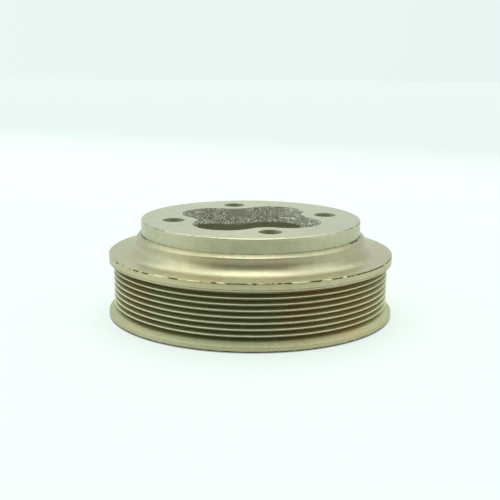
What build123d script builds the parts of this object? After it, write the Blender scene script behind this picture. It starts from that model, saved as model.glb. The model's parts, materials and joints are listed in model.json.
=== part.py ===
from build123d import *
import os
from math import atan2, cos, degrees, hypot, radians, sin, tan

# Crankshaft pulley for a ribbed belt: one iron casting, turned outside and drilled.
# Z is the shaft's axis. The open end stands on Z = 0 and the hub face is on top.
# Lengths are in millimetres, angles in degrees.

# Belt track: V grooves with flat crests, over a wall of iron behind their roots
groove_count = 8
groove_pitch = 3.56
groove_angle = 40.0
crest_radius = 85.25
crest_width = 0.5
track_wall = 5.45

# Foot flange under the track
foot_overhang = 3.15
foot_height = 4.94

# Rim over the track, with a sloped underside and the wall of iron under its top
rim_overhang = 2.75
rim_thickness = 5.63
rim_rise = 1.1
rim_wall = 8.5

# Register that centres the mating part
register_radius = 68.0
register_height = 8.7
register_chamfer = 0.5

# Sloped ledge about the register, and the neck that flares into the rim under it
ledge_width = 3.0
ledge_rise = 1.9
lip_chamfer = 0.6
neck_height = 9.75
neck_fillet = 7.5
neck_wall = 8.5

# Hub plate
plate_thickness = 10.4
bolt_count = 4
bolt_circle_radius = 48.5
bolt_hole_radius = 6.4
bolt_angle = 13.4

# Cast window in the hub plate: a round lobe between each two bolt bosses
lobe_centre_radius = 27.1
lobe_radius = 20.25
window_draft = 2.0

# Pilot bore, turned into the noses of the bolt bosses
pilot_radius = 34.2
pilot_depth = 5.2

# Grooves and the cavity behind them, from the groove angle and the flat crests
groove_mouth = groove_pitch - crest_width
groove_depth = groove_mouth / 2 / tan(radians(groove_angle / 2))
root_radius = crest_radius - groove_depth
cavity_radius = root_radius - track_wall

# Radii and heights that follow from the sizes above
foot_radius = crest_radius + foot_overhang
rim_radius = crest_radius + rim_overhang
neck_radius = register_radius + ledge_width
throat_radius = neck_radius - neck_wall
rim_bottom = foot_height + groove_count * groove_pitch - crest_width
rim_top = rim_bottom + rim_thickness
lip_height = rim_top + neck_height
ledge_top = lip_height + ledge_rise
height = ledge_top + register_height
plate_bottom = height - plate_thickness
shoulder_height = rim_top - rim_wall

# Window outline: each lobe meets a round boss about each bolt hole, tangent to it
bolt_step = 360 / bolt_count
lobe_x = lobe_centre_radius * cos(radians(bolt_step / 2))
lobe_y = lobe_centre_radius * sin(radians(bolt_step / 2))
boss_radius = hypot(bolt_circle_radius - lobe_x, lobe_y) - lobe_radius
meeting_angle = degrees(atan2(lobe_y, bolt_circle_radius - lobe_x))


def around(radius, angle):
    """Point at a radius and an angle about the shaft's axis."""
    return (radius * cos(radians(angle)), radius * sin(radians(angle)))


def corners(sketch, radius, level):
    """Corners of a half section at a radius and a height."""
    spot = Vector(radius, level)
    return sketch.vertices().filter_by(lambda corner: (corner.center() - spot).length < 0.01)


with BuildPart() as pulley_body:
    # Half section of the casting, turned about Z
    with BuildSketch(Plane.XZ) as section:
        with BuildLine():
            Polyline(
                (0, plate_bottom),
                (0, height),
                (register_radius, height),
                (register_radius, ledge_top),
                (neck_radius, lip_height),
                (neck_radius, rim_top),
                (rim_radius, rim_top),
                (rim_radius, rim_bottom + rim_rise),
                (crest_radius, rim_bottom),
                (crest_radius, foot_height),
                (foot_radius, foot_height),
                (foot_radius, 0),
                (cavity_radius, 0),
                (cavity_radius, shoulder_height),
                (throat_radius, shoulder_height),
                (throat_radius, plate_bottom),
                close=True,
            )
        make_face()

        fillet(corners(section, neck_radius, rim_top), neck_fillet)
        chamfer(corners(section, neck_radius, lip_height), lip_chamfer)
        chamfer(corners(section, register_radius, height), register_chamfer)

        # V grooves of the belt track
        for groove in range(groove_count):
            mouth = foot_height + groove_pitch * groove
            with BuildLine():
                Polyline(
                    (crest_radius, mouth),
                    (root_radius, mouth + groove_mouth / 2),
                    (crest_radius, mouth + groove_mouth),
                    close=True,
                )
            make_face(mode=Mode.SUBTRACT)
    revolve(axis=Axis.Z)

    # Cast window, wide at the hub face and drawn in by its draft
    with BuildSketch(Plane.XY.offset(height)) as window:
        with BuildLine():
            for corner in range(bolt_count):
                boss_turn = bolt_angle + corner * bolt_step
                CenterArc(
                    around(bolt_circle_radius, boss_turn),
                    boss_radius,
                    boss_turn + 180 - meeting_angle,
                    2 * meeting_angle,
                )
                CenterArc(
                    around(lobe_centre_radius, boss_turn + bolt_step / 2),
                    lobe_radius,
                    boss_turn - meeting_angle,
                    bolt_step + 2 * meeting_angle,
                )
        make_face()
    extrude(amount=-plate_thickness, taper=window_draft, mode=Mode.SUBTRACT)

    # Pilot bore on the noses of the bosses
    with BuildSketch(Plane.XY.offset(height)):
        Circle(pilot_radius)
    extrude(amount=-pilot_depth, mode=Mode.SUBTRACT)

    # Bolt holes
    with Locations(Plane.XY.offset(height)):
        with PolarLocations(bolt_circle_radius, bolt_count, start_angle=bolt_angle):
            Hole(bolt_hole_radius, depth=plate_thickness)

pulley_body.part.label = "pulley_body"

os.makedirs("parts", exist_ok=True)
export_step(pulley_body.part, "parts/pulley_body.step")
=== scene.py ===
"""Dresses a ribbed-belt crankshaft pulley: one iron casting, turned, drilled, zinc plated and passivated.

The pulley's sizes are in millimetres and the studio's in metres. Angles are in degrees.
"""

import sys
import json
import logging
from dataclasses import dataclass, field
from enum import Enum
from math import atan2, ceil, cos, degrees, hypot, inf, pi, radians, sin, tan

import bpy
import numpy as np
from mathutils import Matrix, Vector, noise
from mathutils.geometry import tessellate_polygon


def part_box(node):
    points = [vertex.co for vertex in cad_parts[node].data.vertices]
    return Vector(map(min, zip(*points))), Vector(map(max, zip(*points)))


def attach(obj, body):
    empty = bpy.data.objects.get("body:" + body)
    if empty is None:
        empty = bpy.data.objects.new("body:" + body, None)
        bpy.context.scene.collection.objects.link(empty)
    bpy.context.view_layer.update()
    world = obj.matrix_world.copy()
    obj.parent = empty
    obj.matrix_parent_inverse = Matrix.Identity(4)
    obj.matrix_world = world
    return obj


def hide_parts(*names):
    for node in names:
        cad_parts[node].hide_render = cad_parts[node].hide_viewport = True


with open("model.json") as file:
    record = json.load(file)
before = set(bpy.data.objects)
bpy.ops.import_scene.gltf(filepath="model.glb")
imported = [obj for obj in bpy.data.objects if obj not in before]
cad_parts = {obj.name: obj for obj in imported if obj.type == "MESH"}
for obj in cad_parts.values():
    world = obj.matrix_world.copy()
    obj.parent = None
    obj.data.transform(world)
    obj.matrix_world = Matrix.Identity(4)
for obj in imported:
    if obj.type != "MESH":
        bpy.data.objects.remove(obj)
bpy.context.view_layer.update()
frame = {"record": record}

log = logging.getLogger("pulley")

MM = 0.001
NODE = "pulley_body"
BODY = "root"

# Bearings from +X: the side that faces the camera, and the first bolt hole
FRONT = -90.0
FIRST_BOLT = 13.4

# Sockets of a colour mix, which only their places tell apart; the span of a noise's usual values; soft ramps
SHARE, UNDER, OVER, MIXED = 0, 6, 7, 2
USUAL = (0.3, 0.7)
EASED = {"interpolation_type": "SMOOTHSTEP"}

Socket = bpy.types.NodeSocket
Material = bpy.types.Material
Span = tuple[float, float]
Triple = tuple[float, float, float]


class Surface(Enum):
    """The finishes on the casting, by the order of its material slots."""

    TURNED = 0
    TRACK = 1
    CAST = 2
    CORED = 3


class Mark(Enum):
    """What use has left on the plating: rust, rubbed metal or bare iron on an edge, and stained grooves. The
    dark mark also paints the contact shadow all round the foot's bottom edge.
    """

    DARK = "dark"
    BRIGHT = "bright"
    BARE = "bare"
    STAIN = "stain"


class Zone(Enum):
    """The parts of the casting that use has marked, each in its own way."""

    HUB = "hub"
    LEDGE = "ledge"
    RIM = "rim"
    TRACK = "track"
    FOOT = "foot"


# How much of each mark there is round the back, where the wear is light and even
BEHIND = {Mark.DARK: 0.45, Mark.BRIGHT: 0.3, Mark.STAIN: 0.5}


def linear(code: str) -> tuple[float, float, float, float]:
    """Turn an sRGB hex colour into a linear one.

    Args:
        code: six hex digits, such as "C8C8A0".

    Returns:
        Red, green, blue and an alpha of one, all linear.
    """
    parts = [int(code[start : start + 2], 16) / 255 for start in (0, 2, 4)]
    lit = [part / 12.92 if part <= 0.04045 else ((part + 0.055) / 1.055) ** 2.4 for part in parts]
    return (*lit, 1.0)


def bearing(angle: float) -> Vector:
    """Unit vector in the hub's plane at an angle in degrees."""
    return Vector((cos(radians(angle)), sin(radians(angle))))


def smooth(low: float, high: float, value: float) -> float:
    """Rise smoothly from 0 at low to 1 at high."""
    share = min(max((value - low) / (high - low), 0.0), 1.0)
    return share * share * (3 - 2 * share)


@dataclass
class Graph:
    """A node tree that is being drawn."""

    tree: bpy.types.NodeTree

    def add(self, kind: str, links: dict | tuple = (), output: int | str = 0, **settings: object) -> Socket:
        """Add a node with its settings and links.

        Args:
            kind: the node's type, which Blender puts ShaderNode before.
            links: for each input, in order or by name or place, a socket to link or a value to set.
            output: which output to hand back.
            settings: properties of the node itself.

        Returns:
            The chosen output of the new node.
        """
        made = self.tree.nodes.new(f"ShaderNode{kind}")
        for name, value in settings.items():
            setattr(made, name, value)
        for key, value in links.items() if isinstance(links, dict) else enumerate(links):
            if isinstance(value, Socket):
                self.tree.links.new(value, made.inputs[key])
            else:
                made.inputs[key].default_value = value
        return made.outputs[output] if made.outputs else None

    def overlay(self, base: Socket | tuple, *layers: tuple) -> Socket:
        """Lay colours over a base, each as far as its pattern reaches.

        Args:
            base: the colour to start from.
            layers: for each, its pattern, the values where it begins and is full, its greatest share,
                and its colour as a socket or in hex.

        Returns:
            The new colour.
        """
        for pattern, begins, full, most, colour in layers:
            there = self.add("MapRange", (pattern, begins, full, 0.0, most))
            over = linear(colour) if isinstance(colour, str) else colour
            base = self.add("Mix", {SHARE: there, UNDER: base, OVER: over}, MIXED, data_type="RGBA")
        return base


def fresh(name: str) -> tuple[Material, Graph]:
    """Make an empty node material.

    Args:
        name: the material's name.

    Returns:
        The material, and the graph to draw it with.
    """
    made = bpy.data.materials.new(name)
    made.use_nodes = True
    made.node_tree.nodes.clear()
    return made, Graph(made.node_tree)


def millimetres(graph: Graph) -> Socket:
    """Place on the piece, in millimetres."""
    place = graph.add("TexCoord", (), "Object")
    return graph.add("VectorMath", {0: place, "Scale": 1 / MM}, operation="SCALE")


@dataclass(frozen=True)
class Plating:
    """What the finishes of the casting share: each is iron under zinc, so it ends in a metallic shader.

    The grain and every other pattern have their sizes in millimetres; brushed is how far tool marks about
    the axis spread the highlight across themselves; edge_tint is the film's colour at a grazing look.
    """

    name: str = "plated_iron"
    metallic: float = 0.8
    roughness: float = 0.5
    grain: float = 0.8
    grain_height: float = 0.06
    brushed: float = 0.0
    edge_tint: str = "FFFFFF"

    def close(
        self, graph: Graph, color: Socket, strength: Socket | float, relief: Socket, **more: Socket
    ) -> None:
        """End the material in a principled shader.

        Args:
            graph: the material's graph.
            color: the base colour.
            strength: how much of the relief shows.
            relief: the surface's height, as a share of the grain's.
            more: other inputs of the shader.
        """
        bump = {"Strength": strength, "Distance": self.grain_height * MM, "Height": relief}
        links = {
            "Base Color": color,
            "Metallic": self.metallic,
            "Roughness": self.roughness,
            "Specular Tint": linear(self.edge_tint),
            "Normal": graph.add("Bump", bump),
        }
        if self.brushed:
            tangent = graph.add("Tangent", direction_type="RADIAL", axis="Z")
            links |= {"Anisotropic": self.brushed, "Anisotropic Rotation": 0.25, "Tangent": tangent}
        shader = graph.add("BsdfPrincipled", links | more)
        graph.add("OutputMaterial", {"Surface": shader})


@dataclass(frozen=True)
class PassivatedTurning(Plating):
    """Turned grey iron under zinc with an olive-yellow passivation.

    The plating follows the tool marks, so the metal is satin, not bright: roughness about a third. The
    passivation is a thin film whose thickness drifts, which gives patches of green, straw and rose. At a
    grazing look the film takes a little of the light.
    """

    name: str = "turned_plated_iron"
    straw: str = "C0B593"
    green: str = "B9B598"
    rose: str = "C6AF98"
    greener: str = "BBBA9D"
    thin: str = "CDC6A8"
    thick: str = "C0BA90"
    dirt_and_shade: str = "6A6A4C"
    pore: str = "5B5A44"
    naked: str = "746A66"
    rust_and_contact_shadow: str = "4C3E22"
    rubbed: str = "DAD2B0"
    edge_tint: str = "EDEDE8"
    metallic: float = 1.0
    roughness: float = 0.33
    hub_roughness: float = 0.2
    brushed: float = 0.7
    patch: float = 17.0
    patch_offset: Triple = (216.0, 69.0, 284.0)
    tool_pitch: float = 0.7
    mottle: float = 4.5
    pore_spacing: float = 5.5
    pore_patch: float = 14.0
    pore_size: float = 0.085
    fleck: float = 0.9

    def material(self) -> Material:
        """Draw the turned, plated iron.

        Returns:
            The material.
        """
        made, graph = fresh(self.name)
        place = millimetres(graph)
        shifted = graph.add("VectorMath", (place, self.patch_offset), operation="ADD")
        film, worn, depth = (
            graph.add("Attribute", (), "Fac", attribute_name=name) for name in ("film", "worn", "depth")
        )

        # The film is thick and amber on the rim and foot, green on the register, thin and grey on the hub
        drift = graph.add("TexNoise", {"Vector": place, "Scale": 1 / self.patch, "Detail": 3.0})
        rosy = graph.add("TexNoise", {"Vector": shifted, "Scale": 0.7 / self.patch, "Detail": 4.0})
        base = graph.overlay(
            linear(self.green),
            (drift, 0.35, 0.68, 1.0, self.straw),
            (rosy, 0.53, 0.66, 0.6, self.rose),
            (film, 0.0, -1.0, 0.9, self.thick),
            (film, 0.0, 0.5, 0.9, self.greener),
            (film, 0.55, 1.0, 0.9, self.thin),
        )

        # Tool marks: rings about the axis. The real feed of about 0.2 mm is too fine, so they are coarser.
        height = graph.add("SeparateXYZ", (place,), 2)
        flat = graph.add("VectorMath", (place, (1, 1, 0)), operation="MULTIPLY")
        radius = graph.add("VectorMath", (flat,), "Value", operation="LENGTH")
        lathe = graph.add("CombineXYZ", (radius, height, 0.0))
        rings = graph.add("TexNoise", {"Vector": lathe, "Scale": 1 / self.tool_pitch, "Detail": 2.0})
        grain = graph.add("TexNoise", {"Vector": place, "Scale": 1 / self.grain, "Detail": 2.0})
        mottle = graph.add("TexNoise", {"Vector": shifted, "Scale": 1 / self.mottle, "Detail": 1.0})
        tone: Socket | float = 1.0
        for pattern, dim, bright in ((rings, 0.955, 1.03), (grain, 0.97, 1.03), (mottle, 0.94, 1.05)):
            part = graph.add("MapRange", (pattern, *USUAL, dim, bright))
            tone = graph.add("Math", (tone, part), operation="MULTIPLY")
        base = graph.add("VectorMath", {0: base, "Scale": tone}, operation="SCALE")

        # Casting pores that the tool opened: small dark specks, far apart
        near = graph.add("TexVoronoi", {"Vector": place, "Scale": 1 / self.pore_spacing}, "Distance")
        chance = graph.add("TexNoise", {"Vector": shifted, "Scale": 1 / self.pore_patch, "Detail": 1.0})
        reach = graph.add("MapRange", (chance, 0.55, 0.75, 0.0, self.pore_size))
        pore = graph.add("Math", (near, reach), operation="LESS_THAN")
        layers = [(pore, 0.0, 1.0, 1.0, self.pore)]

        # Knocked edges: a mark spreads from the edge as far as its share and the chips' noise let it. Along
        # the foot's bottom edge the dark mark is a painted contact shadow.
        for mark, colour, chip, offset in (
            (Mark.BARE, self.naked, 2.2, (5.0, 1.0, 3.0)),
            (Mark.BRIGHT, self.rubbed, 1.6, (17.0, 4.0, 9.0)),
            (Mark.DARK, self.rust_and_contact_shadow, 1.5, (3.0, 23.0, 14.0)),
        ):
            moved = graph.add("VectorMath", (place, offset), operation="ADD")
            chips = graph.add("TexNoise", {"Vector": moved, "Scale": 1 / chip, "Detail": 2.0})
            share = graph.add("Attribute", (), "Fac", attribute_name=mark.value)
            spread = graph.add("Math", (chips, 2.2, -1.1), operation="MULTIPLY_ADD")
            spread = graph.add("Math", (spread, worn), operation="ADD")
            spread = graph.add("Math", (share, 1.3, spread), operation="MULTIPLY_ADD")
            layers.append((spread, 1.62, 1.78, 1.0, colour))

        # Dirt and painted shade at the register's foot and in the rim's sunk line, thin and broken up
        flecks = graph.add("TexNoise", {"Vector": shifted, "Scale": 1 / self.fleck, "Detail": 2.0})
        dirt_and_shade = graph.add("Math", (depth, 0.75, flecks), operation="MULTIPLY_ADD")
        base = graph.overlay(base, *layers, (dirt_and_shade, 0.68, 0.95, 0.8, self.dirt_and_shade))

        # The hub face is turned finer than the rest
        gloss = graph.add("MapRange", (grain, *USUAL, self.roughness + 0.02, self.roughness - 0.02))
        finer = graph.add("MapRange", (film, 0.6, 1.0, 0.0, self.roughness - self.hub_roughness))
        gloss = graph.add("Math", (gloss, finer), operation="SUBTRACT")
        relief = graph.add("Math", (rings, 0.5, grain), operation="MULTIPLY_ADD")
        coarse = graph.add("MapRange", (film, 0.6, 1.0, 0.12, 0.02))
        self.close(graph, base, coarse, relief, Roughness=gloss)
        return made


@dataclass(frozen=True)
class PassivatedGroove(Plating):
    """The same plating in the belt grooves, with painted shade in them and brown stain in patches.

    It is pale at the crests and goes to a dark olive at the roots, which is painted shade, and brown where
    it is stained.
    """

    name: str = "grooved_plated_iron"
    crest: str = "DCD7BE"
    # The grooves' colour at the roots: painted shade
    flank: str = "A0A07A"
    stain: str = "A5946B"
    edge_tint: str = "EFEEE6"
    stain_patch: float = 26.0
    stain_offset: Triple = (70.0, 69.0, 66.0)
    grain: float = 0.9
    painted_light_right: float = 1.3
    painted_light_left: float = 1.12

    def material(self) -> Material:
        """Draw the belt grooves' plating, with painted shade at the roots.

        Returns:
            The material.
        """
        made, graph = fresh(self.name)
        place = millimetres(graph)
        moved = graph.add("VectorMath", (place, self.stain_offset), operation="ADD")
        patches = graph.add("TexNoise", {"Vector": moved, "Scale": 1 / self.stain_patch, "Detail": 3.0})
        where = graph.add("Attribute", (), "Fac", attribute_name=Mark.STAIN.value)
        brown = graph.add("Math", (where, 0.45, patches), operation="MULTIPLY_ADD")
        flank = graph.overlay(linear(self.flank), (brown, 0.55, 0.9, 1.0, self.stain))

        # Painted light: the flanks are a little darker in the middle and paler toward both sides, where more
        # light falls on them
        across = graph.add("SeparateXYZ", (place,))
        right = graph.add("MapRange", (across, 5.0, 55.0, 0.92, self.painted_light_right))
        left = graph.add("MapRange", (across, -10.0, -40.0, 1.0, self.painted_light_left))
        side = graph.add("Math", (right, left), operation="MULTIPLY")
        flank = graph.add("VectorMath", {0: flank, "Scale": side}, operation="SCALE")

        # Painted shade: from the crests to the roots the flank colour takes over
        depth = graph.add("Attribute", (), "Fac", attribute_name="depth")
        base = graph.overlay(linear(self.crest), (depth, 0.02, 0.15, 1.0, flank))
        grain = graph.add("TexNoise", {"Vector": place, "Scale": 1 / self.grain, "Detail": 2.0})
        tone = graph.add("MapRange", (grain, *USUAL, 0.88, 1.1))
        base = graph.add("VectorMath", {0: base, "Scale": tone}, operation="SCALE")
        self.close(graph, base, 0.15, grain)
        return made


@dataclass(frozen=True)
class PlatedCastSkin(Plating):
    """Sand-cast skin under zinc: grey and grainy, with small painted glints, as if each grain were a facet
    that throws the light.

    The grains of moulding sand, of about a quarter of a millimetre, are too fine to show, so they are
    drawn coarser.
    """

    name: str = "sand_cast_plated_iron"
    hill: str = "E0DED0"
    hollow: str = "9A988A"
    metallic: float = 0.5
    roughness: float = 0.35
    grain: float = 0.38
    grain_height: float = 0.35
    dull: float = 0.52
    painted_glint: float = 4.9
    calm_tone: float = 0.95

    def material(self) -> Material:
        """Draw the plated cast skin of the window, calmer on the bosses' bored noses.

        Returns:
            The material.
        """
        made, graph = fresh(self.name)
        place = millimetres(graph)
        cells = graph.add("TexVoronoi", {"Vector": place, "Scale": 1 / self.grain}, "Color")
        facet = graph.add("SeparateColor", (cells,))
        # The grain's own tone, with painted shade: its hollows darker and its hills lighter, by the noise of
        # its bumps
        hills = graph.add("TexNoise", {"Vector": place, "Scale": 1 / self.grain, "Detail": 3.0})
        base = graph.overlay(linear(self.hollow), (hills, 0.38, 0.6, 1.0, self.hill))

        # Painted glints: most facets are dull, and one in many is painted bright as if it threw the light
        facet = graph.add("Math", (facet, 5.0), operation="POWER")
        tone = graph.add("MapRange", (facet, 0.0, 1.0, self.dull, self.painted_glint))
        calm = graph.add("Attribute", (), "Fac", attribute_name="depth")
        tone = graph.add("Mix", {"Factor": calm, "A": tone, "B": self.calm_tone})
        base = graph.add("VectorMath", {0: base, "Scale": tone}, operation="SCALE")
        hilly = graph.add("MapRange", (calm, 0.0, 1.0, 0.4, 0.1))
        self.close(graph, base, hilly, hills)
        return made


@dataclass(frozen=True)
class PlatedCore(Plating):
    """Drilled holes and the cored cavity: smooth plated iron, a dull olive darker than the turned faces."""

    name: str = "cored_plated_iron"
    body: str = "A3A286"

    def material(self) -> Material:
        """Draw the walls of the drilled holes and the cavity.

        Returns:
            The material.
        """
        made, graph = fresh(self.name)
        place = millimetres(graph)
        grain = graph.add("TexNoise", {"Vector": place, "Scale": 1 / self.grain, "Detail": 2.0})
        tone = graph.add("MapRange", (grain, *USUAL, 0.9, 1.08))
        base = graph.add("VectorMath", {0: linear(self.body)[:3], "Scale": tone}, operation="SCALE")
        self.close(graph, base, 0.15, grain)
        return made


@dataclass
class EdgeWear:
    """Where an edge or a surface carries marks: dark dashes of rust, rubbed metal, bare iron or stain.

    Each patch is (middle, reach) in degrees round from the front, and a share as a third value where the
    mark is slight. soft is the patch's soft edge as shares of its reach, and back is where the wear of the
    back begins and is full, in degrees.
    """

    patches: dict[Mark, tuple[tuple[float, ...], ...]]
    soft: Span = (0.6, 1.1)
    back: Span = (75.0, 100.0)

    def share(self, mark: Mark, around: float) -> float:
        """Say how much of an edge carries a mark at an angle.

        Args:
            mark: which of the marks.
            around: degrees from the front, positive to the right.

        Returns:
            0 for none to 1 for all of it.
        """
        hit = BEHIND.get(mark, 0.0) * smooth(*self.back, abs(around))
        for middle, reach, *slight in self.patches.get(mark, ()):
            most = slight[0] if slight else 1.0
            hit = max(hit, most * (1 - smooth(*self.soft, abs(around - middle) / reach)))
        return hit


def used_edges() -> dict[Zone, EdgeWear]:
    """Describe the marks of use, zone by zone, from the hub's edge down to the foot's.

    Returns:
        Each zone's wear.
    """
    rim_rust = (
        (-62.5, 2.4), (-56.4, 0.7), (-51.2, 0.9), (-47.6, 2.3), (-41.9, 2.5), (-28.8, 2.8), (-17.3, 0.8),
        (-12.8, 1.2), (1.4, 1.6), (9.0, 6.0, 0.62), (13.4, 1.2), (23.1, 1.8), (25.7, 0.8), (33.0, 2.8),
        (39.4, 2.3), (45.5, 4.5), (56.0, 8.0), (70.0, 7.0, 0.8),
    )
    rim_rubbed = (
        (-35.0, 3.2, 0.85), (-20.8, 3.0, 0.85), (-10.7, 1.4), (16.0, 1.4), (19.3, 1.4, 0.85), (29.3, 1.2),
        (36.6, 0.9),
    )
    hub_rust = (
        (-68.0, 9.0, 0.9), (-54.0, 4.0), (-48.0, 2.5), (-41.0, 1.2), (-15.8, 1.5), (-12.0, 1.2),
        (48.0, 2.0), (60.0, 5.0, 0.9), (73.0, 8.0),
    )
    hub_rubbed = ((-28.0, 0.8), (-13.6, 0.8), (-9.5, 0.7), (30.5, 0.8))
    return {
        Zone.HUB: EdgeWear({Mark.DARK: hub_rust, Mark.BRIGHT: hub_rubbed, Mark.BARE: ((-34.0, 17.0, 0.8),)}),
        Zone.LEDGE: EdgeWear({Mark.DARK: ((-73.0, 11.0, 0.9), (70.0, 15.0, 0.95))}),
        Zone.RIM: EdgeWear({Mark.DARK: rim_rust, Mark.BRIGHT: rim_rubbed, Mark.BARE: ((-4.6, 4.4, 1.3),)}),
        Zone.TRACK: EdgeWear({Mark.STAIN: ((-52.0, 12.0, 0.55), (40.0, 34.0, 0.65))}),
        # The foot's dark mark, all round its bottom edge, is a painted contact shadow
        Zone.FOOT: EdgeWear({Mark.DARK: ((0.0, 400.0),)}),
    }


@dataclass
class Corner:
    """A corner of the turned section, or one ring of its mesh where no rounding is left.

    radius and level place it in millimetres; rounding is the tool's nose radius there; after is the
    finish of the wall that follows; worn is how much of the edge's plating has been knocked off, and at
    the foot's bottom edge how far its painted contact shadow reaches; depth is how far it is darkened,
    being sunk: painted shade in the grooves, dirt and painted shade at the register's foot and the rim's
    line; film is the passivation on the wall that follows: -1 thick and amber, 0 drifting, 0.5 green, 1
    thin and grey.
    """

    radius: float
    level: float
    rounding: float = 0.0
    after: Surface = Surface.TURNED
    worn: float = 0.0
    depth: float = 0.0
    film: float = 0.0

    @property
    def spot(self) -> Vector:
        """Its place in the half section."""
        return Vector((self.radius, self.level))


@dataclass
class BeltTrack:
    """The V grooves of the belt track, as corners of the turned section, in millimetres."""

    count: int = 8
    pitch: float = 3.56
    angle: float = 40.0
    crest_radius: float = 85.25
    crest_width: float = 0.5
    crest_rounding: float = 0.16
    root_width: float = 0.34
    bottom: float = 4.94
    foot_darkening: float = 0.12

    @property
    def mouth(self) -> float:
        """Width of a groove at the crests."""
        return self.pitch - self.crest_width

    @property
    def root_radius(self) -> float:
        """Radius of a groove's narrow floor, on the way to its sharp root."""
        return self.crest_radius - (self.mouth - self.root_width) / 2 / tan(radians(self.angle / 2))

    @property
    def top(self) -> float:
        """Height where the last groove meets the rim."""
        return self.bottom + self.count * self.pitch - self.crest_width

    def corners(self) -> list[Corner]:
        """List the corners of all grooves, from the rim down to the foot.

        Returns:
            Corners in order, each groove's two crest edges and its floor.
        """
        found: list[Corner] = []
        for groove in reversed(range(self.count)):
            low = self.bottom + groove * self.pitch
            middle = low + self.mouth / 2
            upper = self.crest_rounding if groove < self.count - 1 else 0.0
            lower = self.crest_rounding if groove > 0 else 0.0
            found += [
                Corner(self.crest_radius, low + self.mouth, upper, Surface.TRACK),
                Corner(self.root_radius, middle + self.root_width / 2, 0.0, Surface.TRACK, depth=1.0),
                Corner(self.root_radius, middle - self.root_width / 2, 0.0, Surface.TRACK, depth=1.0),
                Corner(self.crest_radius, low, lower, Surface.TRACK),
            ]
        # The foot's sloped top, under the last groove, takes a little of the roots' dark colour
        found[-1].depth = self.foot_darkening
        return found


@dataclass
class CastWindow:
    """The lobed window in the hub plate, with its rough wall as cast."""

    height: float
    plate: float
    bolt_circle: float
    turn: float
    count: int = 4
    lobe_centre: float = 27.1
    lobe_radius: float = 20.25
    core_shift: Span = (-0.5, -0.5)
    draft: float = 2.0
    pilot_radius: float = 34.2
    pilot_depth: float = 5.2
    pilot_edge: float = 0.03
    pilot_fade: float = 0.9
    points_per_lobe: int = 112
    points_per_boss: int = 36
    levels: int = 22
    grain_wide: float = 1.5
    grain_fine: float = 0.75
    grain_offset: Triple = (7.1, 3.3, 5.9)
    grain_depth: float = 0.2
    rim_share: float = 0.35
    nose_radius: float = 34.6
    nose_fade: float = 2.0
    calm_share: float = 0.8
    flash_level: float = 3.0
    flash_width: float = 0.45
    flash_depth: float = 0.4
    flash_from: float = 22.0
    flash_to: float = 66.0

    def outline(self) -> list[tuple[Vector, Vector]]:
        """Walk the window's edge on the hub face.

        Returns:
            For each point, its place and the direction into the iron, both flat, in millimetres.
        """
        step = 360 / self.count
        lobe_x = self.lobe_centre * cos(radians(step / 2))
        lobe_y = self.lobe_centre * sin(radians(step / 2))
        boss_radius = hypot(self.bolt_circle - lobe_x, lobe_y) - self.lobe_radius
        shift = Vector(self.core_shift)
        meeting = degrees(atan2(lobe_y, self.bolt_circle - lobe_x))
        found: list[tuple[Vector, Vector]] = []
        for corner in range(self.count):
            aim = self.turn + corner * step
            boss = shift + self.bolt_circle * bearing(aim)
            lobe = shift + self.lobe_centre * bearing(aim + step / 2)
            for index in range(self.points_per_boss):
                angle = aim + 180 + meeting - 2 * meeting * index / self.points_per_boss
                found.append((boss + boss_radius * bearing(angle), -bearing(angle)))
            for index in range(self.points_per_lobe):
                angle = aim - meeting + (step + 2 * meeting) * index / self.points_per_lobe
                found.append((lobe + self.lobe_radius * bearing(angle), bearing(angle)))
        return found

    def roughness(self, place: Vector, drop: float) -> float:
        """Say how far the cast wall stands into the iron at a point.

        Args:
            place: the point on the drafted wall, in millimetres.
            drop: its depth under the hub face.

        Returns:
            Millimetres, more where the sand left a hollow and less on the line of flash.
        """
        wide = noise.noise(place / self.grain_wide)
        fine = noise.noise(place / self.grain_fine + Vector(self.grain_offset))
        pit = 1 - min(noise.voronoi(place / self.grain_wide)[0][0] * 1.6, 1.0)
        flash = max(0.0, 1 - abs(drop - self.plate + self.flash_level + 0.5 * wide) / self.flash_width)
        around = degrees(atan2(place.y, place.x))
        flash *= self.flash_from < around < self.flash_to
        return self.grain_depth * (0.75 * wide + 0.6 * fine + 0.45 * pit) - self.flash_depth * flash

    def calm(self, place: Vector, drop: float) -> float:
        """Say how smooth a point is, from 0 on the cast wall to 1 where the bosses' noses were bored."""
        near = smooth(self.nose_radius + self.nose_fade, self.nose_radius, place.xy.length)
        return near * smooth(self.pilot_depth + self.pilot_fade, self.pilot_depth, drop)

    def wall(self) -> tuple[list[Vector], list[float]]:
        """Make the window's wall, level by level, from the hub face down.

        Returns:
            The points, one ring after another, and how calm the wall is at each.
        """
        edge = self.outline()
        drops = [self.plate * index / (self.levels - 1) for index in range(self.levels)]
        bored_rows = sum(drop < self.pilot_depth for drop in drops)
        drops[bored_rows - 1] = self.pilot_depth - self.pilot_edge
        drops[bored_rows] = self.pilot_depth
        points: list[Vector] = []
        calms: list[float] = []
        for row, drop in enumerate(drops):
            share = 1.0 if 0 < row < self.levels - 1 else self.rim_share
            for flat, outward in edge:
                drafted = flat - outward * drop * tan(radians(self.draft))
                spot = Vector((drafted.x, drafted.y, self.height - drop))
                calm = self.calm(spot, drop)
                moved = drafted + outward * self.roughness(spot, drop) * share * (1 - self.calm_share * calm)
                if row < bored_rows and moved.length < self.pilot_radius:
                    moved = moved.normalized() * self.pilot_radius
                points.append(Vector((moved.x, moved.y, self.height - drop)))
                calms.append(calm)
        return points, calms


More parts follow.
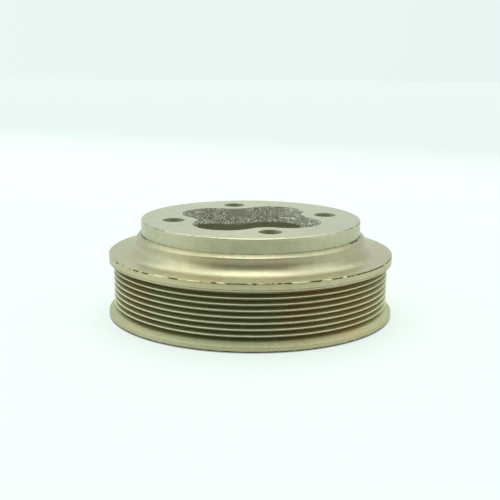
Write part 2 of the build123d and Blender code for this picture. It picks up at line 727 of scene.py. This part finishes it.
@dataclass
class BoltHoles:
    """The drilled bolt holes, each with a steep, worn mouth."""

    height: float
    plate: float
    circle: float
    radius: float
    turn: float
    count: int = 4
    mouth: float = 0.45
    mouth_depth: float = 1.6
    points: int = 72

    def rings(self, hole: int) -> list[list[Vector]]:
        """Make one hole's rings from the hub face down.

        Args:
            hole: which hole, counted round from the first.

        Returns:
            Four rings of points: the mouth's edge and foot, and two of the drilled wall.
        """
        centre = self.circle * bearing(self.turn + hole * 360 / self.count)
        sizes = (
            (self.radius + self.mouth, 0.0),
            (self.radius, self.mouth_depth),
            (self.radius, self.plate / 2),
            (self.radius, self.plate),
        )
        return [
            [
                Vector((*(centre + size * bearing(360 * index / self.points)), self.height - drop))
                for index in range(self.points)
            ]
            for size, drop in sizes
        ]


@dataclass
class CastingMesh:
    """Gathers points, faces and their finishes into one closed mesh."""

    points: list[tuple[float, ...]] = field(default_factory=list)
    faces: list[tuple[int, ...]] = field(default_factory=list)
    kinds: list[int] = field(default_factory=list)
    worn: list[float] = field(default_factory=list)
    depth: list[float] = field(default_factory=list)
    film: list[float] = field(default_factory=list)

    def put(self, spots: list, worn: float = 0.0, depth: float = 0.0, film: float = 0.0) -> range:
        """Add points that share their wear, depth and film.

        Args:
            spots: the points' places, in millimetres.
            worn: how much plating their edge has lost.
            depth: how sunk they are, which darkens them with painted shade and dirt.
            film: the passivation's kind there.

        Returns:
            The points' numbers.
        """
        start = len(self.points)
        self.points += [tuple(spot) for spot in spots]
        self.worn += [worn] * len(spots)
        self.depth += [depth] * len(spots)
        self.film += [film] * len(spots)
        return range(start, len(self.points))

    def band(self, upper: range, lower: range, kind: Surface) -> None:
        """Join two rings of as many points with quads.

        Args:
            upper: the ring that the faces hang from.
            lower: the ring under it.
            kind: the quads' finish.
        """
        count = len(upper)
        for index in range(count):
            after = (index + 1) % count
            self.faces.append((upper[index], lower[index], lower[after], upper[after]))
            self.kinds.append(kind.value)

    def sheet(self, rings: list[range], kind: Surface, upward: bool) -> None:
        """Fill the flat area inside the first ring and outside the others.

        Args:
            rings: the outer ring, and then each hole's.
            kind: the sheet's finish.
            upward: whether it faces up.
        """
        order = [number for ring in rings for number in ring]
        loops = [[Vector(self.points[number]) for number in ring] for ring in rings]
        for triangle in tessellate_polygon(loops):
            a, b, c = (order[index] for index in triangle)
            first, second, third = (Vector(self.points[number]) for number in (a, b, c))
            up = (second - first).cross(third - first).z > 0
            self.faces.append((a, b, c) if up == upward else (a, c, b))
            self.kinds.append(kind.value)


@dataclass
class Casting:
    """The pulley itself: every turned, drilled and cast wall of one iron casting, in millimetres."""

    track: BeltTrack
    window: CastWindow
    holes: BoltHoles
    outer: float
    height: float
    register: float
    name: str = "pulley_casting"
    edges: dict[Zone, EdgeWear] = field(default_factory=used_edges)
    segments: int = 400
    register_chamfer: float = 0.4
    relief_width: float = 0.3
    relief_depth: float = 0.06
    register_height: float = 8.7
    ledge_width: float = 3.0
    ledge_rise: float = 2.02
    lip_rounding: float = 1.3
    neck_fillet: float = 7.5
    neck_height: float = 9.63
    rim_overhang: float = 2.75
    rim_rise: float = 0.8
    rim_line: float = 1.0
    edge_rounding: float = 0.15
    rim_rounding: float = 0.25
    rim_low_rounding: float = 0.5
    foot_rounding: float = 0.6
    foot_low_rounding: float = 0.3
    foot_slope: float = 2.2
    cavity: float = 75.6
    throat: float = 62.5
    shoulder: float = 30.05
    cavity_rounding: float = 0.8
    cast_fillet: float = 4.0
    face_margin: float = 1.8
    plate_margin: float = 1.5
    film_drop: float = 2.2
    dirt_and_shade_reach: float = 0.1
    support: float = 0.12
    worn_reach: float = 1.2
    most_reach: float = 0.45
    small_rounding: float = 0.5
    small_step: float = 34.0
    step: float = 16.0
    neck_steps: int = 12
    sharp_angle: float = 37.0

    def corners(self) -> list[Corner]:
        """List the section's corners, from the hub face round the outside to the plate's underside.

        Returns:
            The corners in order.
        """
        register, chamfer, relief = self.register, self.register_chamfer, self.relief_width
        ledge = self.height - self.register_height
        lip = ledge - self.ledge_rise
        slope = self.ledge_rise / self.ledge_width
        neck = register + self.ledge_width
        rim_top = lip - self.neck_height
        rim = self.track.crest_radius + self.rim_overhang
        rim_low = self.track.top + self.rim_rise
        foot_top = self.track.bottom - self.foot_slope
        underside = self.height - self.window.plate
        return [
            Corner(register - self.face_margin, self.height, film=1.0),
            Corner(register - chamfer, self.height, self.edge_rounding, worn=0.6, film=0.7),
            Corner(register, self.height - chamfer, self.edge_rounding, worn=0.6, film=0.75),
            Corner(register, self.height - self.film_drop, film=0.5),
            Corner(register, ledge + 4 * relief, film=0.5),
            # The relief groove at the register's foot and the ledge next to it, darkened with dirt and
            # painted shade
            Corner(register, ledge + relief, film=0.8, depth=0.2),
            Corner(register - self.relief_depth, ledge + 0.5 * relief, film=1.0, depth=0.5),
            Corner(register - self.relief_depth, ledge, film=1.0, depth=0.5),
            Corner(register + self.dirt_and_shade_reach, ledge - self.dirt_and_shade_reach * slope, worn=1.0, depth=0.3),
            Corner(neck, lip, self.lip_rounding),
            Corner(neck, rim_top, self.neck_fillet),
            Corner(rim, rim_top, self.rim_rounding, worn=1.0, film=-1.0),
            Corner(rim, rim_low + self.rim_line + relief),
            # The rim's sunk line, darkened with dirt and painted shade
            Corner(rim - self.relief_depth, rim_low + self.rim_line, depth=0.8),
            Corner(rim, rim_low + self.rim_line - relief),
            Corner(rim, rim_low, self.rim_low_rounding),
            *self.track.corners(),
            Corner(self.outer, foot_top, self.foot_rounding, depth=self.track.foot_darkening, film=-0.6),
            # The foot's bottom edge: its dark mark is a painted contact shadow
            Corner(self.outer, 0.0, self.foot_low_rounding, worn=0.82),
            Corner(self.cavity, 0.0, self.cavity_rounding, Surface.CORED),
            Corner(self.cavity, self.shoulder, self.cast_fillet, Surface.CORED),
            Corner(self.throat, self.shoulder, self.cast_fillet, Surface.CORED),
            Corner(self.throat, underside, self.cast_fillet, Surface.CORED),
            Corner(self.throat - self.cast_fillet - self.plate_margin, underside, 0.0, Surface.CORED),
        ]

    def rows(self) -> list[Corner]:
        """Round the corners and give each wall the rings it needs for clean shading.

        Returns:
            The rings in order.
        """
        spots = self.corners()
        first, last = spots[0], spots[-1]
        found = [Corner(first.radius, first.level, film=first.film)]
        for before, corner, after in zip(spots, spots[1:], spots[2:]):
            found += self.rounded(before, corner, after) if corner.rounding else [corner]
        return [*found, Corner(last.radius, last.level, after=last.after)]

    def rounded(self, before: Corner, corner: Corner, after: Corner) -> list[Corner]:
        """Round one corner.

        Args:
            before: the corner that comes before it.
            corner: the corner itself.
            after: the corner that follows.

        Returns:
            The rings of the arc, and one on each wall that keeps the wall's shading flat.
        """
        here = corner.spot
        back, ahead = (before.spot - here).normalized(), (after.spot - here).normalized()
        turn = pi - back.angle(ahead)
        reach = corner.rounding * tan(turn / 2)
        start, end = here + back * reach, here + ahead * reach
        centre = here + (back + ahead).normalized() * corner.rounding / cos(turn / 2)
        support = self.worn_reach if corner.worn else self.support
        lead_in = start + back * min(support, (before.spot - start).length * self.most_reach)
        lead_out = end + ahead * min(support, (after.spot - end).length * self.most_reach)
        step = self.small_step if corner.rounding < self.small_rounding else self.step
        steps = max(2, ceil(degrees(turn) / step))
        if corner.rounding == self.neck_fillet:
            steps = self.neck_steps
        found = [Corner(*lead_in, 0.0, before.after, depth=corner.depth, film=before.film)]
        for index in range(steps + 1):
            share = index / steps
            arm = (start - centre) * sin((1 - share) * turn) + (end - centre) * sin(share * turn)
            wall = corner if share == 1 else before
            spot = centre + arm / sin(turn)
            found.append(Corner(*spot, 0.0, wall.after, corner.worn, corner.depth, wall.film))
        return [*found, Corner(*lead_out, 0.0, corner.after, film=corner.film)]

    def turned(self, mesh: CastingMesh) -> tuple[range, range]:
        """Turn the section round the axis.

        Args:
            mesh: the mesh to add to.

        Returns:
            The first ring, on the hub face, and the last, on the plate's underside.
        """
        turns = [bearing(360 * index / self.segments + FRONT) for index in range(self.segments)]
        rows = self.rows()
        rings = []
        for row in rows:
            radius, level = row.spot
            ring = [(turn.x * radius, turn.y * radius, level) for turn in turns]
            rings.append(mesh.put(ring, row.worn, row.depth, row.film))
        for row, upper, lower in zip(rows, rings, rings[1:]):
            mesh.band(upper, lower, row.after)
        return rings[0], rings[-1]

    def opened(self, mesh: CastingMesh) -> tuple[list[range], list[range]]:
        """Line the window and the bolt holes.

        Args:
            mesh: the mesh to add to.

        Returns:
            The openings' rings on the hub face, and those on the plate's underside.
        """
        points, calms = self.window.wall()
        per_level = len(self.window.outline())
        levels = [mesh.put(points[start : start + per_level]) for start in range(0, len(points), per_level)]
        for upper, lower in zip(levels, levels[1:]):
            mesh.band(lower, upper, Surface.CAST)
        mesh.film[levels[0].start : levels[0].stop] = [1.0] * per_level
        mesh.depth[levels[1].start : levels[-1].stop] = calms[per_level:]
        mouths, feet = [levels[0]], [levels[-1]]
        for hole in range(self.holes.count):
            rings = [mesh.put(ring, film=1.0) for ring in self.holes.rings(hole)]
            for upper, lower in zip(rings, rings[1:]):
                mesh.band(lower, upper, Surface.CORED)
            mouths.append(rings[0])
            feet.append(rings[-1])
        return mouths, feet

    def marks(self, mesh: CastingMesh) -> dict[str, list[float]]:
        """Say what marks each point carries.

        Args:
            mesh: the finished mesh.

        Returns:
            For each attribute that the finishes read, its value at every point.
        """
        places = np.array(mesh.points)
        around = np.degrees(np.arctan2(places[:, 0], -places[:, 1]))
        neck = self.height - self.register_height - self.ledge_rise - self.neck_height / 2
        tops = (
            (self.track.bottom - self.foot_slope, Zone.FOOT),
            (neck, Zone.RIM),
            (self.height - self.register_height / 2, Zone.LEDGE),
            (inf, Zone.HUB),
        )
        zones = [next(zone for top, zone in tops if level < top) for level in places[:, 2]]
        values = {"worn": mesh.worn, "depth": mesh.depth, "film": mesh.film}
        for mark in (Mark.DARK, Mark.BRIGHT, Mark.BARE):
            values[mark.value] = [
                self.edges[zone].share(mark, angle) if worn else 0.0
                for worn, zone, angle in zip(mesh.worn, zones, around)
            ]
        values[Mark.STAIN.value] = [self.edges[Zone.TRACK].share(Mark.STAIN, angle) for angle in around]
        return values

    def build(self) -> bpy.types.Object:
        """Make the casting's mesh and object.

        Returns:
            The object, with no materials yet.
        """
        mesh = CastingMesh()
        face, underside = self.turned(mesh)
        mouths, feet = self.opened(mesh)
        mesh.sheet([face, *mouths], Surface.TURNED, True)
        mesh.sheet([underside, *feet], Surface.CORED, False)

        data = bpy.data.meshes.new(self.name)
        data.from_pydata([tuple(value * MM for value in point) for point in mesh.points], [], mesh.faces)
        data.polygons.foreach_set("material_index", mesh.kinds)
        data.polygons.foreach_set("use_smooth", [True] * len(mesh.faces))
        for name, shares in self.marks(mesh).items():
            data.attributes.new(name, "FLOAT", "POINT").data.foreach_set("value", shares)
        data.set_sharp_from_angle(angle=radians(self.sharp_angle))
        data.update()
        made = bpy.data.objects.new(self.name, data)
        bpy.context.scene.collection.objects.link(made)
        log.info("%s: %d points, %d faces", self.name, len(data.vertices), len(data.polygons))
        return made

    def dress(self, piece: bpy.types.Object) -> None:
        """Give the casting its finishes.

        Args:
            piece: the built object.
        """
        finishes = {
            Surface.TURNED: PassivatedTurning(),
            Surface.TRACK: PassivatedGroove(),
            Surface.CAST: PlatedCastSkin(),
            Surface.CORED: PlatedCore(),
        }
        for surface in Surface:
            piece.data.materials.append(finishes[surface].material())
            log.info("%s: %s", surface.name.lower(), finishes[surface].name)


@dataclass(frozen=True)
class PaintedLightTable:
    """White matt product table whose top glows with painted light: a cool white with hardly any shadow.

    It fades a little toward the back and the right. Toward the front the glowing top gives way to a warm,
    dimmer tint, which is painted shade. Under the pulley it is painted in shade, and most of all in a thin
    painted contact shadow under its foot. Lengths are in metres.
    """

    name: str = "painted_light_table"
    body: str = "7C7C7C"
    painted_glow: str = "CFDAD5"
    painted_shade: str = "E3E5D5"
    painted_glow_strength: float = 1.0
    fade: float = 0.863
    fade_span: Span = (0.7, 1.3)
    fade_turn: float = 0.45
    front_span: Span = (-0.24, -0.46)
    shade_under_pulley: float = 0.7
    shade_under_pulley_span: Span = (0.076, 0.08)
    contact: float = 0.35
    contact_lean: float = 0.0015
    contact_from: float = -0.0008
    contact_to: float = 0.0003

    def material(self, outer: float) -> Material:
        """Draw the table top.

        Args:
            outer: radius of the foot that stands on it.

        Returns:
            The material.
        """
        made, graph = fresh(self.name)
        place = graph.add("TexCoord", (), "Object")
        toward = (self.fade_turn, 1, 0)
        reach = graph.add("VectorMath", (place, toward), "Value", operation="DOT_PRODUCT")
        light = graph.add("MapRange", (reach, *self.fade_span, 1.0, self.fade), **EASED)
        away = graph.add("SeparateXYZ", (place,), 1)
        painted_shade = graph.overlay((1.0, 1.0, 1.0, 1.0), (away, *self.front_span, 1.0, self.painted_shade))
        painted_shade = graph.add("VectorMath", {0: painted_shade, "Scale": light}, operation="SCALE")

        # Painted shade under the pulley, and a thin painted contact shadow at its foot, which shows only in
        # front: the light leans on the pulley from behind
        middle = graph.add("VectorMath", (place,), "Value", operation="LENGTH")
        leaned = graph.add("VectorMath", (place, (0, self.contact_lean, 0)), operation="ADD")
        edge = graph.add("VectorMath", (leaned,), "Value", operation="LENGTH")
        shaded = graph.add("MapRange", (middle, *self.shade_under_pulley_span, self.shade_under_pulley, self.contact))
        shadow = graph.add("MapRange", (edge, outer + self.contact_from, outer + self.contact_to, shaded))
        painted_shade = graph.add("VectorMath", {0: painted_shade, "Scale": shadow}, operation="SCALE")

        # Painted light: the top glows as well as taking the lamps' light
        color = graph.add("VectorMath", (painted_shade, linear(self.body)[:3]), operation="MULTIPLY")
        painted_glow = graph.add("VectorMath", (painted_shade, linear(self.painted_glow)[:3]), operation="MULTIPLY")
        links = {
            "Base Color": color,
            "Roughness": 1.0,
            "Emission Color": painted_glow,
            "Emission Strength": self.painted_glow_strength,
        }
        shader = graph.add("BsdfPrincipled", links)
        graph.add("OutputMaterial", {"Surface": shader})
        return made


@dataclass
class Studio:
    """A table whose top glows with painted light, soft light from above and a camera a little over the
    pulley.

    Lengths are in metres but for the lens. The light's spans are of a direction's part along an axis.
    """

    floor_radius: float = 6.0
    floor_sides: int = 96
    camera_distance: float = 0.55098
    camera_height: float = 0.15654
    camera_pitch: float = 12.1374
    camera_yaw: float = -0.0331
    camera_roll: float = 0.479
    lens: float = 64.47
    sensor: float = 36.0
    clip: float = 0.01
    sky: str = "EAF6F3"
    front_tint: str = "ECEFC8"
    around: float = 0.85
    front: float = 0.27
    front_span: Span = (-0.16, -0.82)
    horizon: float = 1.0
    low_back: float = 1.02
    low_back_span: Span = (0.065, 0.11)
    low_corners: float = 0.97
    low_flanks: float = 1.08
    flank_span: Span = (0.65, 0.3)
    corner_span: Span = (0.28, 0.45)
    low_span: Span = (0.25, 0.45)
    side_boxes: float = 0.65
    box_across: Span = (0.45, 0.72)
    box_away: Span = (0.45, 0.1)
    box_up: Span = (0.25, 0.5)
    overhead: float = 3.4
    overhead_sides: float = 2.05
    overhead_tilt: float = 16.0
    overhead_span: Span = (0.6, 0.85)
    lamp_span: Span = (0.19, 0.4)
    left_bias: float = 0.2

    def build_camera(self) -> None:
        """Make the camera and set it as the scene's."""
        angles = (self.camera_pitch, self.camera_yaw, self.camera_roll)
        pitch, yaw, roll = (radians(angle) for angle in angles)
        level = Vector((sin(yaw), cos(yaw), 0))
        right = Vector((cos(yaw), -sin(yaw), 0))
        ahead = level * cos(pitch) - Vector((0, 0, sin(pitch)))
        up = level * sin(pitch) + Vector((0, 0, cos(pitch)))
        tilted_right = right * cos(roll) + up * sin(roll)
        tilted_up = up * cos(roll) - right * sin(roll)
        data = bpy.data.cameras.new("camera")
        data.sensor_width = self.sensor
        data.lens = self.lens
        data.clip_start = self.clip
        camera = bpy.data.objects.new("camera", data)
        turn = Matrix((tilted_right, tilted_up, -ahead)).transposed().to_4x4()
        camera.matrix_world = Matrix.Translation((0, -self.camera_distance, self.camera_height)) @ turn
        bpy.context.scene.collection.objects.link(camera)
        bpy.context.scene.camera = camera
        bpy.context.scene.view_settings.view_transform = "Standard"

    def build_light(self) -> None:
        """Make the soft light: bright overhead, white all round, dimmer on the camera's side."""
        world = bpy.data.worlds.new("soft_light")
        world.use_nodes = True
        world.node_tree.nodes.clear()
        graph = Graph(world.node_tree)
        aim = graph.add("TexCoord", (), "Generated")
        across, away, up = graph.add("SeparateXYZ", (aim,)).node.outputs
        span = graph.add("Math", (across,), operation="ABSOLUTE")
        toward = graph.add("MapRange", (away, *self.front_span), **EASED)

        # Low down: the backdrop with its corners and flanks, and the dim side that the camera stands on
        back = graph.add("MapRange", (up, *self.low_back_span, self.horizon, self.low_back), **EASED)
        flank = graph.add("MapRange", (away, *self.flank_span, self.low_corners, self.low_flanks), **EASED)
        sides = graph.add("MapRange", (span, *self.corner_span, 1.0, flank), **EASED)
        back = graph.add("Math", (back, sides), operation="MULTIPLY")
        edge = graph.add("MapRange", (toward, 0.0, 1.0, back, self.front))

        # Higher up: the ring of the room, with a soft box at either side
        ring = graph.add("MapRange", (toward, 0.0, 1.0, self.around, self.front))
        low = graph.add("MapRange", (up, *self.low_span), **EASED)
        level = graph.add("Mix", {"Factor": low, "A": edge, "B": ring})
        box = graph.add("MapRange", (span, *self.box_across), **EASED)
        for value, reach in ((away, self.box_away), (up, self.box_up)):
            part = graph.add("MapRange", (value, *reach), **EASED)
            box = graph.add("Math", (box, part), operation="MULTIPLY")
        level = graph.add("Math", (box, self.side_boxes, level), operation="MULTIPLY_ADD")

        # Overhead: the main light, brightest along its middle. All of the light leans a little to the left.
        tilt = radians(self.overhead_tilt)
        near = graph.add("VectorMath", (aim, (0, sin(tilt), cos(tilt))), "Value", operation="DOT_PRODUCT")
        over = graph.add("MapRange", (near, *self.overhead_span), **EASED)
        lamp = graph.add("MapRange", (span, *self.lamp_span, self.overhead, self.overhead_sides), **EASED)
        level = graph.add("Mix", {"Factor": over, "A": level, "B": lamp})
        lean = graph.add("Math", (across, span), operation="MULTIPLY")
        bias = graph.add("Math", (lean, -self.left_bias, 1.0), operation="MULTIPLY_ADD")
        level = graph.add("Math", (level, bias), operation="MULTIPLY")

        sky = linear(self.sky)
        tint = graph.overlay(sky, (toward, 0.0, 1.0, 1.0, self.front_tint), (over, 0.0, 1.0, 1.0, sky))
        shine = graph.add("Background", {"Color": tint, "Strength": level})
        graph.add("OutputWorld", {"Surface": shine})
        bpy.context.scene.world = world

    def build_floor(self, table: PaintedLightTable, outer: float) -> None:
        """Make the table top.

        Args:
            table: its finish.
            outer: radius of the foot that stands on it.
        """
        sides = range(self.floor_sides)
        rim = [(*(self.floor_radius * bearing(side * 360 / self.floor_sides)), 0.0) for side in sides]
        data = bpy.data.meshes.new("table_top")
        data.from_pydata(rim, [], [tuple(sides)])
        data.materials.append(table.material(outer))
        floor = bpy.data.objects.new("table_top", data)
        bpy.context.scene.collection.objects.link(floor)
        log.info("table_top: %s", table.name)


def measured_casting() -> Casting:
    """Size the casting by the frame: its box, and the seats that the record states.

    Returns:
        The casting's sizes, in millimetres.
    """
    mounts = {mount["name"]: mount for mount in frame["record"]["mounts"]}
    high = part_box(NODE)[1]
    height = high[2] / MM
    plate = height - mounts["crank_seat"]["pos_m"][2] / MM
    bolts = mounts["bolt_holes"]["dims"]
    circle = bolts["pcd_mm"] / 2
    return Casting(
        track=BeltTrack(),
        window=CastWindow(height, plate, circle, FIRST_BOLT),
        holes=BoltHoles(height, plate, circle, bolts["hole_r_mm"], FIRST_BOLT, bolts["count"]),
        outer=round(high[0] / MM, 3),
        height=height,
        register=mounts["register"]["dims"]["r_mm"],
    )


def main() -> None:
    """Build the pulley and the studio, piece by piece."""
    logging.basicConfig(level=logging.INFO, format="%(name)s %(message)s", stream=sys.stdout)
    casting = measured_casting()
    piece = casting.build()
    casting.dress(piece)
    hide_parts(NODE)
    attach(piece, BODY)

    studio = Studio()
    studio.build_camera()
    studio.build_light()
    studio.build_floor(PaintedLightTable(), casting.outer * MM)


if __name__ == "__main__":
    main()
